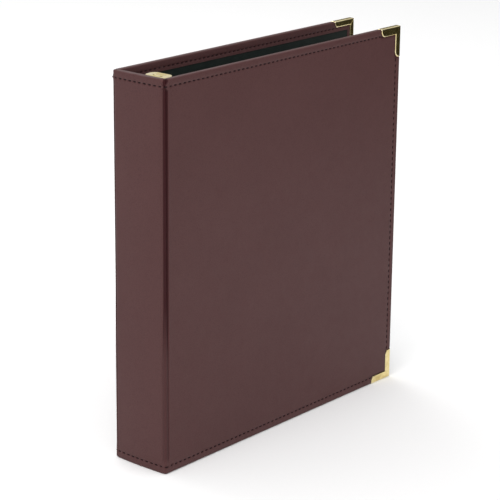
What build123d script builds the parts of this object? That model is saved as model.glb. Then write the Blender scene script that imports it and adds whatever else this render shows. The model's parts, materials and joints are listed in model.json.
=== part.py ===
from build123d import *
import os
from math import cos, radians, sin, sqrt

# A three-ring coin album: two leatherette covers and a spine, a gold ring
# mechanism inside the spine and four pocket pages on its rings.
# +X runs from the spine to the fore-edge, +Y from the front cover to the rear
# cover, and +Z up. The origin is the middle of the base that it stands on.
# Every size is in millimetres.

# Overall size of the closed album, over its metal corners
album_height = 292.0
album_width = 270.0
album_thickness = 51.2

# Covered boards
leather = 0.8
cover_board = 2.9
spine_board = 2.4
lining = 0.6
turn_in = 8.0
hinge_side_margin = 3.0
lining_clearance = 0.15
cover_edge_radius = 1.0
spine_edge_radius = 0.7
spine_bow = 0.8

# Flexible hinges between the spine and the covers
hinge_inset = 2.0
hinge_clearance = 0.3
hinge_leather_outer = 1.4
hinge_lining = 0.35
hinge_band = 7.0
hinge_band_outer = 1.9

# Metal corners
corner_leg = 24.5
corner_outer_width = 6.5
corner_inner_width = 5.0
corner_sheet = 0.5
corner_proud = 0.3
corner_leg_radius = 4.6
corner_inner_leg_radius = 3.6
corner_fold_radius = 0.7

# Ring housing
housing_half_width = 13.1
housing_sheet = 0.8
housing_height = 7.4
housing_wall = 3.4
housing_rib = 1.0
housing_rib_bottom = 0.95
housing_end_margin = 22.0
ring_end_distance = 16.0

# Blades and rings
blade_sheet = 1.0
blade_pivot_height = 2.6
blade_pivot_inset = 1.1
blade_edge = 0.05
blade_gap = 0.15
blade_closed_angle = 4.0
ring_open_angle = 11.0
ring_wire = 1.5
ring_leg_angle = 130.0
ring_rise_extra = 0.5
ring_cover_clearance = 1.0
ring_tip_gap = 0.05
tongue_length = 0.9
tongue_radius = 0.8
tongue_clearance = 0.1
ring_notch_clearance = 0.7
ring_notch_inner = 5.9
ring_notch_lift = 0.4

# Rivets that hold the housing
rivet_shank = 2.0
rivet_head = 3.8
rivet_head_height = 1.0
rivet_head_round = 0.8
rivet_foot = 3.6
rivet_foot_height = 0.8
rivet_foot_sink = 0.1
rivet_blade_clearance = 1.0

# Opening levers
lever_sheet = 1.2
lever_arm_half_width = 5.5
lever_pad_half_width = 10.2
lever_pad_radius = 5.0
lever_barrel = 1.9
lever_pin = 0.9
lever_pin_clearance = 0.05
lever_pivot_inset = 2.5
lever_toe_reach = 4.8
lever_toe_height = 0.6
lever_toe_bend = 1.2
lever_toe_sheet = 0.9
lever_blade_gap = 3.3
lever_knee = (7.5, 11.5)
lever_bend = (8.6, 19.4)
lever_pad_end = (23.1, 20.3)
lever_arm_radius = 6.0
lever_bend_radius = 5.0
lever_neck = 9.0
lever_shoulder = 15.0
lever_hole = 1.0
lever_hole_height = 16.5
lever_hole_spread = 3.5

# Pocket pages
page_count = 4
page_sheet = 0.8
page_pitch = 1.6
page_clearance = 0.5
page_end_margin = 9.5
page_fore_margin = 12.0
page_slot_inset = 7.7
page_slot_length = 9.6
page_slot_height = 7.5
page_slot_play = 0.35
page_wire_inset = 2.8
page_strip = 21.0
page_corner_radius = 3.0
pocket_columns = 4
pocket_rows = 5
pocket_seam = 2.0
pocket_gap = 0.3
pocket_mouth = 3.0
thumb_notch = 6.0

# Places that follow from the sizes
spine_x = -album_width / 2
spine_edge_x = spine_x + spine_bow
fore_x = album_width / 2 - corner_proud
face_y = album_thickness / 2 - corner_proud
cover_bottom = corner_proud
cover_top = album_height - corner_proud
middle_z = album_height / 2
cover_thickness = leather + cover_board + leather
spine_thickness = leather + spine_board + leather
hinge_x = spine_edge_x + hinge_inset
hinge_y = face_y - hinge_inset
hinge_reach = max(spine_thickness - hinge_inset, hinge_inset) + hinge_clearance
cover_x = hinge_x + hinge_reach
half_room = face_y - cover_thickness

# The mechanism stands on the spine's lining, at base_x
base_x = spine_edge_x + leather + spine_board + lining
housing_half_length = middle_z - housing_end_margin
ring_spacing = housing_half_length - ring_end_distance
ring_heights = [middle_z + step * ring_spacing for step in (1, 0, -1)]
blade_pivot_x = base_x + blade_pivot_height
blade_pivot_y = housing_half_width - blade_pivot_inset
blade_length = blade_pivot_y - blade_gap
open_sine = sin(radians(ring_open_angle))
open_drift = blade_pivot_y * (1 - cos(radians(ring_open_angle))) + ring_rise_extra * open_sine
ring_radius = (half_room - ring_cover_clearance - ring_wire - open_drift) / (1 + open_sine)
ring_x = blade_pivot_x + ring_radius + ring_rise_extra
lever_pivot_x = base_x + blade_pivot_height
lever_pivot_z = housing_half_length - lever_pivot_inset
blade_half_length = lever_pivot_z - lever_blade_gap
rivet_heights = [middle_z + step * ring_spacing / 2 for step in (1, -1)]
page_height = album_height - 2 * page_end_margin
first_page_offset = ring_x - base_x - housing_height - rivet_head_height - page_clearance - page_sheet / 2
page_offsets = [first_page_offset - page_pitch * number for number in range(page_count)]


def page_edge(offset):
    """Inner edge of a page that hangs on the rings this far from their middle."""
    wire_x = sqrt(ring_radius**2 - offset**2)
    return ring_x + wire_x - page_wire_inset - page_slot_inset


page_width = fore_x - page_fore_margin - page_edge(page_offsets[-1])


def block(x0, x1, y0, y1, z0, z1):
    """A box between two corners."""
    centre = Pos((x0 + x1) / 2, (y0 + y1) / 2, (z0 + z1) / 2)
    return centre * Box(abs(x1 - x0), abs(y1 - y0), abs(z1 - z0))


def rod(radius, start, end):
    """A round bar between two points."""
    axis = Vector(*end) - Vector(*start)
    return extrude(Plane(origin=start, z_dir=axis) * Circle(radius), axis.length)


def upright(sketch, z0, z1):
    """A plan outline raised between two heights."""
    return extrude(Pos(0, 0, z0) * sketch, z1 - z0)


def rear(shape):
    """The rear piece that matches a front one."""
    return mirror(shape, about=Plane.XZ)


def lower(shape):
    """The lower piece that matches an upper one."""
    return mirror(shape, about=Plane.XY.offset(middle_z))


# Covers, all built as the front cover


def corner_outline(width, radius):
    """The L of a metal corner's face, seen from the front, at the upper fore-edge."""
    leg = corner_leg
    x = fore_x + corner_proud
    z = cover_top + corner_proud
    points = [(x, z), (x - leg, z), (x - leg, z - width)]
    points += [(x - width, z - width), (x - width, z - leg), (x, z - leg)]
    face = make_face(Polyline(*points, close=True))
    ends = [face.vertices().sort_by_distance((x - leg, z - width, 0))[0]]
    ends.append(face.vertices().sort_by_distance((x - width, z - leg, 0))[0])
    return fillet(ends, radius)


def facing(sketch, y0, y1):
    """An XZ outline given thickness between two depths."""
    front = Plane(origin=(0, y1, 0), x_dir=(1, 0, 0), z_dir=(0, -1, 0))
    return extrude(front * sketch, y1 - y0)


def corner_block(skin):
    """The solid bounded by a metal corner's outer face, less a skin, before its faces are cut."""
    proud = corner_proud - skin
    reach = 2 * corner_leg
    x1 = fore_x + proud
    z1 = cover_top + proud
    body = block(x1 - reach, x1, -face_y - proud, -half_room + proud, z1 - reach, z1)
    return fillet(body.edges(), corner_fold_radius - skin / 2)


def top_corner():
    """A folded metal corner that wraps the cover's two edges."""
    shell = corner_block(0) - corner_block(corner_sheet)
    middle = -face_y + cover_thickness / 2
    front = corner_outline(corner_outer_width, corner_leg_radius)
    back = corner_outline(corner_inner_width, corner_inner_leg_radius)
    outer = facing(front, -face_y - corner_proud, middle)
    inner = facing(back, middle, -half_room + corner_proud)
    return shell & (outer + inner)


def cover_pieces():
    """The front cover's board, leather, lining and two metal corners."""
    y0 = -face_y
    y1 = -half_room
    slab = block(cover_x, fore_x, y0, y1, cover_bottom, cover_top)
    slab = fillet(slab.edges(), cover_edge_radius)
    board_x = (cover_x + leather, fore_x - leather)
    board = block(*board_x, y0 + leather, y1 - leather, cover_bottom + leather, cover_top - leather)
    window_x = (cover_x + hinge_side_margin, fore_x - turn_in)
    window = block(*window_x, y1 - leather, y1, cover_bottom + turn_in, cover_top - turn_in)
    gap = lining_clearance
    panel_x = (window_x[0] + gap, window_x[1] - gap)
    panel_z = (cover_bottom + turn_in + gap, cover_top - turn_in - gap)
    panel = block(*panel_x, y1 - leather, y1 - leather + lining, *panel_z)
    upper = top_corner()
    return {
        "cover_board": board,
        "cover_leather": slab - board - window - upper - lower(upper),
        "cover_lining": panel,
        "top_corner": upper,
        "bottom_corner": lower(upper),
    }


# Spine and hinges


def spine_outline(skin, inner_x):
    """The spine's plan inside a skin: bowed outwards, flat inside."""
    half = hinge_y - skin
    edge_x = spine_edge_x + skin
    bow = ThreePointArc((edge_x, -half), (spine_x + skin, 0), (edge_x, half))
    sides = Polyline((edge_x, half), (inner_x, half), (inner_x, -half), (edge_x, -half))
    return make_face(bow + sides)


def rivet_tool(radius, x0, x1, z):
    """A round bar through the spine at a rivet."""
    return rod(radius, (x0, 0, z), (x1, 0, z))


def spine_pieces():
    """The spine's board, leather and lining, with the rivet holes through them."""
    outer = upright(spine_outline(0, spine_edge_x + spine_thickness), 0, album_height)
    outer = fillet(outer.edges(), spine_edge_radius)
    board_face = spine_edge_x + leather + spine_board
    board = upright(spine_outline(leather, board_face), leather, album_height - leather)
    half = hinge_y - hinge_side_margin
    window = block(board_face, board_face + leather, -half, half, turn_in, album_height - turn_in)
    gap = lining_clearance
    panel = block(board_face, base_x, -half + gap, half - gap, turn_in + gap, album_height - turn_in - gap)
    skin = outer - board - window
    foot_x = spine_x + leather + rivet_foot_sink
    for z in rivet_heights:
        shank = rivet_tool(rivet_shank, spine_x, base_x, z)
        board = board - shank - rivet_tool(rivet_foot, spine_x, foot_x + rivet_foot_height, z)
        panel -= shank
    return {"spine_board": board, "spine_leather": skin, "spine_lining": panel}


def hinge_strip(outer, inner, z0, z1):
    """A strip that rounds the front hinge from the spine's edge to the cover's."""
    centre = Pos(hinge_x, -hinge_y)
    ring = centre * (Circle(outer) - Circle(inner))
    quarter = centre * Rectangle(outer, outer, align=(Align.MAX, Align.MAX))
    run = centre * Pos(0, -inner) * Rectangle(hinge_reach, outer - inner, align=(Align.MIN, Align.MAX))
    return upright((ring & quarter) + run, z0, z1)


def hinge_pieces():
    """The front hinge's leather, with a full band at each end, and its inner strip."""
    inner = hinge_leather_outer - leather
    strip = hinge_strip(hinge_leather_outer, inner, cover_bottom, cover_top)
    strip += hinge_strip(hinge_band_outer, inner, cover_bottom, cover_bottom + hinge_band)
    strip += hinge_strip(hinge_band_outer, inner, cover_top - hinge_band, cover_top)
    backing = hinge_strip(inner, inner - hinge_lining, cover_bottom, cover_top)
    return {"hinge_leather": strip, "hinge_lining": backing}


# Ring mechanism


def arch(skin):
    """The arc of the housing's crown, less a skin, from side to side."""
    half = housing_half_width - skin
    spring = base_x + housing_wall
    return ThreePointArc((spring, -half), (base_x + housing_height - skin, 0), (spring, half))


def housing_outline():
    """The housing's plan: an arched sheet on two walls, each with an inward rib."""
    half = housing_half_width
    spring = base_x + housing_wall
    walls = Polyline((spring, half), (base_x, half), (base_x, -half), (spring, -half))
    solid = make_face(arch(0) + walls)
    inside = half - housing_sheet
    room_walls = Polyline((spring, inside), (base_x, inside), (base_x, -inside), (spring, -inside))
    outline = solid - make_face(arch(housing_sheet) + room_walls)
    rib_x = base_x + housing_rib_bottom + housing_sheet / 2
    for side in (-1, 1):
        rib = Pos(rib_x, side * half) * Rectangle(housing_sheet, 2 * (housing_sheet + housing_rib))
        outline += rib & solid
    return outline


def pin_rod(z):
    """The pin across the housing's walls that a lever turns on."""
    half = housing_half_width
    return rod(lever_pin, (lever_pivot_x, -half, z), (lever_pivot_x, half, z))


def ring_housing():
    """The arched housing, with a notch for each half ring and a hole for each rivet and pin."""
    housing = upright(housing_outline(), middle_z - housing_half_length, middle_z + housing_half_length)
    notch_half = ring_wire + ring_notch_clearance
    notch_x = (blade_pivot_x + ring_notch_lift, base_x + housing_height)
    outer_y = blade_pivot_y + blade_edge
    for z in ring_heights:
        cut = block(*notch_x, -outer_y, -ring_notch_inner, z - notch_half, z + notch_half)
        housing = housing - cut - rear(cut)
    for z in rivet_heights:
        housing -= rivet_tool(rivet_shank, base_x, base_x + housing_height, z)
    for side in (1, -1):
        housing -= pin_rod(middle_z + side * lever_pivot_z)
    return housing


def rivet(z, housing):
    """A domed rivet from the housing's crown to a foot sunk in the spine's board."""
    crown = base_x + housing_height
    foot_x = spine_x + leather + rivet_foot_sink
    head = rivet_tool(rivet_head, crown - housing_sheet / 2, crown + rivet_head_height, z)
    head = fillet(head.edges().group_by(Axis.X)[-1], rivet_head_round) - housing
    foot = rivet_tool(rivet_foot, foot_x, foot_x + rivet_foot_height, z)
    return foot + rivet_tool(rivet_shank, foot_x, crown, z) + head


def blade_frame():
    """The closed front blade's own axes: X away from the spine, Y towards the middle."""
    return Pos(blade_pivot_x, -blade_pivot_y, middle_z) * Rot(0, 0, blade_closed_angle)


def front_blade():
    """The front blade, cut clear of the two rivets."""
    half = blade_sheet / 2
    plate = block(-half, half, -blade_edge, blade_length, -blade_half_length, blade_half_length)
    blade = blade_frame() * plate
    room = rivet_shank + rivet_blade_clearance
    for z in rivet_heights:
        blade -= block(base_x, base_x + housing_height, -room, room, z - room, z + room)
    return blade


def ring_end():
    """Where the front ring's arc meets its straight leg, and the leg's direction."""
    turn = radians(ring_leg_angle)
    point = Vector(ring_x + ring_radius * cos(turn), -ring_radius * sin(turn), 0)
    return point, Vector(-sin(turn), -cos(turn), 0)


def front_half_ring(z):
    """A front half ring: an arc from its tip, then a straight leg down to the blade."""
    bend, way = ring_end()
    start = Vector(ring_x + ring_radius, -ring_tip_gap, 0)
    halfway = radians(ring_leg_angle / 2)
    middle = Vector(ring_x + ring_radius * cos(halfway), -ring_radius * sin(halfway), 0)
    path = ThreePointArc(start, middle, bend) + Line(bend, bend + way * ring_radius)
    wire = Plane(origin=start, z_dir=(0, -1, 0)) * Circle(ring_wire)
    ring = Pos(0, 0, z) * sweep(wire, path=path)
    reach = 2 * ring_radius
    below = block(-reach, blade_sheet / 2, -reach, reach, -album_height, album_height)
    return ring - blade_frame() * below


def tip_cone(extra):
    """The tongue of a front ring tip, or with extra its socket in the rear tip."""
    x = ring_x + ring_radius
    cone = Cone(tongue_radius + extra, tongue_radius / 2 + extra, tongue_length + extra)
    return Pos(x, -ring_tip_gap + (tongue_length + extra) / 2, 0) * Rot(-90, 0, 0) * cone


def lever_outline():
    """The upper lever seen from the side: toe, barrel, arm and thumb pad, from its pivot."""
    pivot = (lever_pivot_x, middle_z + lever_pivot_z)
    toe_x = base_x + lever_toe_height
    toe = Polyline((toe_x, pivot[1] - lever_toe_reach), (toe_x, pivot[1] - lever_toe_bend), pivot)
    turns = [(base_x + x, pivot[1] + z) for x, z in (lever_knee, lever_bend, lever_pad_end)]
    arm = FilletPolyline(pivot, *turns, radius=[lever_arm_radius, lever_bend_radius])
    barrel = Pos(*pivot) * Circle(lever_barrel)
    return trace(toe, lever_toe_sheet) + trace(arm, lever_sheet) + barrel


def lever_plan():
    """The lever seen along the spine: narrow at its pivot, wide at its thumb pad."""
    half = lever_arm_half_width
    pad = lever_pad_half_width
    neck_x = base_x + lever_neck
    pad_x = base_x + lever_shoulder
    end_x = base_x + lever_pad_end[0]
    points = [(base_x, -half), (neck_x, -half), (pad_x, -pad), (end_x, -pad)]
    points += [(end_x, pad), (pad_x, pad), (neck_x, half), (base_x, half)]
    face = make_face(Polyline(*points, close=True))
    ends = face.vertices().group_by(Axis.X)[-1]
    return fillet(ends, lever_pad_radius)


def top_lever():
    """The upper opening lever, with its pin hole and two small holes in its thumb pad."""
    z = middle_z + lever_pivot_z
    side = facing(lever_outline(), -lever_pad_half_width, lever_pad_half_width)
    lever = side & upright(lever_plan(), z - album_height / 2, z + album_height / 2)
    half = lever_pad_half_width
    lever -= rod(lever_pin + lever_pin_clearance, (lever_pivot_x, -half, z), (lever_pivot_x, half, z))
    hole_x = base_x + lever_hole_height
    for y in (-lever_hole_spread, lever_hole_spread):
        lever -= rod(lever_hole, (hole_x, y, z + lever_knee[1]), (hole_x, y, z + album_height / 2))
    return lever




# Pages


def page():
    """A pocket page in its own place: inner edge at x = 0, middle of its sheet at y = 0."""
    z0 = page_end_margin
    z1 = z0 + page_height
    half = page_sheet / 2
    sheet = block(0, page_width, -half, half, z0, z1)
    sheet = fillet(sheet.edges().filter_by(Axis.Y), page_corner_radius)
    slot_x = (page_slot_inset, page_slot_inset + page_slot_length)
    for z in ring_heights:
        top = z + ring_wire + page_slot_play
        slot = block(*slot_x, -half, half, top - page_slot_height, top)
        sheet -= fillet(slot.edges().filter_by(Axis.Y), ring_wire)
    column = (page_width - page_strip) / pocket_columns
    row = (page_height - pocket_seam) / pocket_rows
    for i in range(pocket_columns):
        x0 = page_strip + column * i
        x1 = x0 + column - pocket_seam
        for j in range(pocket_rows):
            low = z0 + pocket_seam + row * j
            high = low + row - pocket_seam
            pocket = block(x0, x1, -pocket_gap / 2, pocket_gap / 2, low, high)
            mouth = block(x0, x1, -half, 0, high - pocket_mouth, high)
            thumb = rod(thumb_notch, ((x0 + x1) / 2, -half, high), ((x0 + x1) / 2, 0, high))
            opening = mouth + (thumb & block(x0, x1, -half, 0, low, high))
            sheet = sheet - pocket - opening
    return sheet


def build():
    """Every named piece of the album."""
    pieces = spine_pieces()
    for name, shape in cover_pieces().items():
        pieces["front_" + name] = shape
        pieces["rear_" + name] = rear(shape)
    for name, shape in hinge_pieces().items():
        pieces["front_" + name] = shape
        pieces["rear_" + name] = rear(shape)
    housing = ring_housing()
    pieces["ring_housing"] = housing
    for place, z in zip(("top", "bottom"), rivet_heights):
        pieces[place + "_rivet"] = rivet(z, housing)
    blade = front_blade()
    pieces["front_blade"] = blade
    pieces["rear_blade"] = rear(blade)
    for place, z in zip(("top", "middle", "bottom"), ring_heights):
        ring = front_half_ring(z)
        pieces["front_ring_" + place] = ring + Pos(0, 0, z) * tip_cone(0)
        pieces["rear_ring_" + place] = rear(ring) - Pos(0, 0, z) * tip_cone(tongue_clearance)
    lever = top_lever()
    pin = pin_rod(middle_z + lever_pivot_z)
    pieces["top_lever"] = lever
    pieces["bottom_lever"] = lower(lever)
    pieces["top_lever_pin"] = pin
    pieces["bottom_lever_pin"] = lower(pin)
    sheet = page()
    for number, offset in enumerate(page_offsets, 1):
        pieces["coin_page_" + str(number)] = Pos(page_edge(offset), -offset, 0) * sheet
    return pieces


os.makedirs("parts", exist_ok=True)
for node, shape in build().items():
    export_step(shape, "parts/" + node + ".step")
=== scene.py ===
import json
from math import cos, pi, radians, sin, sqrt

import bmesh
import bpy
import numpy as np
from mathutils import Matrix, Vector


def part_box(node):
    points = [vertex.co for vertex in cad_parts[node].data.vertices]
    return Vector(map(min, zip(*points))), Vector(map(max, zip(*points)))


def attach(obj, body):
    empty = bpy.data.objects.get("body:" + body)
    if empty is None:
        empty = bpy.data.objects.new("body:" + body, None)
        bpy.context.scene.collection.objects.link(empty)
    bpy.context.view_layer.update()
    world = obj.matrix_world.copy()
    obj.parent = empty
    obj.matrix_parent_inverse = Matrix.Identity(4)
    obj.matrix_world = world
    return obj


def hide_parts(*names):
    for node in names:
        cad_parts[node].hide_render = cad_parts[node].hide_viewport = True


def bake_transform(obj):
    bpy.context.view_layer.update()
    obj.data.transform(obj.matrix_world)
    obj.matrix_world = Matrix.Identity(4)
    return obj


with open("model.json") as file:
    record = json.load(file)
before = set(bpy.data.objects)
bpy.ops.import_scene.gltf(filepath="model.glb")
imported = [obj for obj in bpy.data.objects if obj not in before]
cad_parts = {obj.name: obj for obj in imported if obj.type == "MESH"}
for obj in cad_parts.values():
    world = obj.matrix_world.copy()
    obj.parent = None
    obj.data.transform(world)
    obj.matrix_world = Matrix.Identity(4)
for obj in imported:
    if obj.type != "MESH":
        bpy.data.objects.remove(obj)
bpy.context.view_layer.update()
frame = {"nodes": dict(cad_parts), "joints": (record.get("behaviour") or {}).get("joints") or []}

# The coin album's looks: grained leather skins with lockstitched borders, folded
# brass corners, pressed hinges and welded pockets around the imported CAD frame.
# Every length is in metres, in the row frame.
MM = 0.001

# Camera: where the photograph was taken from
VIEW_AZIMUTH = radians(-49.39)
VIEW_ELEVATION = radians(17.4)
VIEW_ROLL = radians(0.58)
VIEW_DISTANCE = 1.488
VIEW_TARGET = (-0.0134, 0.0, 0.1375)
VIEW_LENS = 141.84
SENSOR = 36.0

# Colours
LEATHER_DEEP = (0.068, 0.0265, 0.0262, 1)
LEATHER_LIGHT = (0.083, 0.0345, 0.0340, 1)
LEATHER_PORE = (0.040, 0.014, 0.014, 1)
# Worn leather edges, paler also as a painted highlight
LEATHER_WEAR_AND_HIGHLIGHT = (0.15, 0.050, 0.050, 1)
# Pressed leather, darker also as painted shade in stitch dents, hinge grooves and beside the metal corners
LEATHER_PRESSED_SHADE = (0.027, 0.0020, 0.0032, 1)
THREAD_DEEP = (0.008, 0.003, 0.004, 1)
THREAD_LIGHT = (0.016, 0.006, 0.007, 1)
CORNER_LIGHT = (0.84, 0.71, 0.36, 1)
CORNER_DEEP = (0.56, 0.42, 0.16, 1)
RING_LIGHT = (0.90, 0.74, 0.27, 1)
RING_DEEP = (0.66, 0.49, 0.15, 1)
# Worn brass edges, paler also as a painted highlight
BRASS_WEAR_AND_HIGHLIGHT = (0.99, 0.93, 0.74, 1)
# Painted shade in the brass's hollows and holes
BRASS_HOLLOW_SHADE = (0.06, 0.04, 0.015, 1)
LINING_DEEP = (0.005, 0.009, 0.008, 1)
LINING_LIGHT = (0.010, 0.016, 0.013, 1)
BOARD_DEEP = (0.24, 0.2, 0.16, 1)
BOARD_LIGHT = (0.42, 0.37, 0.3, 1)
VINYL_TINT = (0.80, 0.84, 0.87, 1)
WELD_TINT = (0.84, 0.87, 0.9, 1)
FLOOR_DEEP = (0.94, 0.94, 0.94, 1)
FLOOR_LIGHT = (0.96, 0.96, 0.96, 1)
FLAG_TONE = (0.035, 0.033, 0.024, 1)
BACK_FLAG_TONE = (0.22, 0.21, 0.16, 1)

# Grain and other fine detail, as its size on the surface
LEATHER_CLOUD = 55 * MM
LEATHER_GRAIN = 0.75 * MM
LEATHER_SCUFF = 9 * MM
LEATHER_HAIR = 0.22 * MM
THREAD_CLOUD = 2.5 * MM
THREAD_TWIST = 0.28 * MM
BRASS_TARNISH = 6 * MM
BRASS_BLOTCH = 3 * MM
BRASS_LINE = 0.35 * MM
BRASS_WAVE = 7 * MM
LINING_CLOUD = 12 * MM
LINING_WEAVE = 0.6 * MM
LINING_FUZZ = 0.4 * MM
BOARD_FLECK = 1.2 * MM
VINYL_HAZE = 14 * MM
VINYL_RIPPLE = 22 * MM
VINYL_SPECK = 0.5 * MM
FLOOR_FIBRE = 3 * MM
WAVE_RATE = 20  # a wave texture turns this many radians per unit

# Leather skins
EDGE_RADIUS = 1.0 * MM
EDGE_TURNS = (90, 67.5, 45, 22.5, 0)
RING_STEP = 0.95 * MM
PANEL_STEP = 8
SIDE_ROWS = (0.5, 0.0, -0.5)
SEAM_INSET = 5.2 * MM
STITCH_PITCH = 4.7 * MM
STITCH_LENGTH = 2.9 * MM
THREAD_RADIUS = 0.36 * MM
THREAD_SINK = 0.27 * MM
SEAM_GROOVE = 0.06 * MM
SEAM_GROOVE_WIDTH = 0.8 * MM
STITCH_DENT = 0.42 * MM
STITCH_DENT_WIDTH = 0.62 * MM
STITCH_EASE = (0.3, 0.62)
SEAM_SPARE = 0.3
STITCH_SHADE = 1.8
STITCH_SHADE_START = 0.6
THREAD_SECTIONS = 9
THREAD_SIDES = 8
THREAD_TAPER = 0.35
THREAD_DIVE = 1.3
BORDER_CROWN = 0.1 * MM
PANEL_WAVE = 0.05 * MM
SLOW_WAVE = (31 * MM, 43 * MM)
QUICK_WAVE = (17 * MM, 23 * MM)
SLOW_SHARE = 0.7
COVER_WAVE_RISE = 15 * MM
SPINE_WAVE_RISE = 12 * MM
TURN_IN = 8.0 * MM
HINGE_MARGIN = 3.0 * MM
WINDOW_DEPTH = 0.75 * MM
WINDOW_WALL = 0.06 * MM
WINDOW_SHELF = 20
SMALL = 0.01 * MM

# Pressed hinges
SKIN_LIFT = 0.05 * MM
SPINE_OVERLAP = 2.6 * MM
COVER_OVERLAP = 1.5 * MM
GROOVE_HALF = 4.0 * MM
GROOVE_SHIFT = 1.2 * MM
ROLL_DEPTH = 0.65 * MM
CREVICE_DEPTH = 0.65 * MM
# Groove depth at which the painted shade in the hinge groove is full, and how it grows
PRESSED_SHADE_DEPTH = 0.6 * MM
PRESSED_SHADE_POWER = 1.2
PINCH_WIDTH = (0.2, 3.4 * MM)
PINCH_DEPTH = (0.5, 2.6 * MM)
LOW_GROOVE = 0.34
LOW_GROOVE_HEIGHTS = (0.26, 0.5)
GROOVE_FADE = (0.5 * MM, 13 * MM)
ROLL_SHARE = 0.75
GROOVE_WALL = 0.72
SPINE_FALL = 0.5 * MM
SPINE_FALL_WIDTH = 1.9 * MM
SPINE_FALL_RISE = (6 * MM, 9 * MM)
HINGE_COLUMNS = 46
HINGE_ROWS = 50
HINGE_TIP = 0.5 * MM
HINGE_TIP_DEPTH = 0.13 * MM
HINGE_THIN = 0.2 * MM
HINGE_SHEET = 0.1 * MM
HINGE_ONTO = (-0.5 * MM, 0.1 * MM)
HINGE_OFF = (-0.2 * MM, 0.5 * MM)
HINGE_CAVITY = 0.22 * MM
HINGE_AHEAD = 0.1 * MM
HINGE_STITCH_ENDS = (0.4, 0.6)
STRIP_RADIUS = 0.6 * MM
STRIP_THICK = 0.35 * MM
STRIP_TURNS = 8
STRIP_STEPS = 12
STRIP_ROWS = 40

# Metal corners
LEG = 24.5 * MM
CORNER_PROUD = 0.3 * MM
RIM_WIDTH = 0.45 * MM
OUTER_FACE = (6.5 * MM, 4.6 * MM)
INNER_FACE = (5.0 * MM, 3.6 * MM)
RIM_SINK = 0.1 * MM
PLATE_UNDERSIDE = -0.15 * MM
MITRE_GROOVE = 0.18 * MM
METAL_SHADE = 0.75
METAL_SHADE_WIDTH = 0.75 * MM
METAL_PRESS = 0.22 * MM
METAL_PRESS_WIDTH = 0.9 * MM
STITCH_CLEARANCE = 1.6 * MM

# Pocket pages
PAGE_STRIP = 21.0 * MM
POCKET_SEAM = 2.0 * MM
POCKET_COLUMNS = 4
POCKET_ROWS = 5
WELD_PROUD = 0.06 * MM
WELD_TOOTH = 1.1 * MM
WELD_NOTCH = 0.45
WELD_SLOPE = 0.25 * MM
WELD_GAP = 0.15 * MM
WELD_MARGIN = 3 * MM

# Eased edges on the CAD's solids
LINING_EASE = 0.12 * MM
METAL_EASE = 0.16 * MM
MERGE_DISTANCE = 0.002 * MM
EASE_ANGLE = radians(40)

# Studio
FLOOR_HALF = 6.0
FLOOR_GAP = 0.02 * MM
SKY_STRENGTH = 0.75
LOW_AIM = (0, 0, 0.1)
HIGH_AIM = (0, 0, 0.2)

# Places read from the frame
SPINE_LOW, SPINE_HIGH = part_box("spine_leather")
COVER_LOW, COVER_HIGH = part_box("front_cover_leather")
HINGE = next(Vector(j["pos_m"]) for j in frame["joints"] if j["child"] == "front_cover")
HINGE_X = HINGE.x
HINGE_Y = abs(HINGE.y)
FACE_Y = abs(COVER_LOW.y)
ROOM_Y = abs(COVER_HIGH.y)
COVER_X = COVER_LOW.x
FORE_X = COVER_HIGH.x
FLUSH = FACE_Y - HINGE_Y
SPINE_EDGE_X = HINGE_X - FLUSH
SPINE_BOW = SPINE_EDGE_X - SPINE_LOW.x
ARC = FLUSH * pi / 2
SEAM_TOP = COVER_HIGH.z - SEAM_INSET
SEAM_BOTTOM = COVER_LOW.z + SEAM_INSET


def ease(start, end, value):
    """0 before start, 1 after end, smooth between."""
    t = np.clip((value - start) / (end - start), 0, 1)
    return t * t * (3 - 2 * t)


def hill(value, width):
    """1 at zero, falling away over a width on both sides."""
    return np.exp(-((value / width) ** 2))


# Materials


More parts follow.
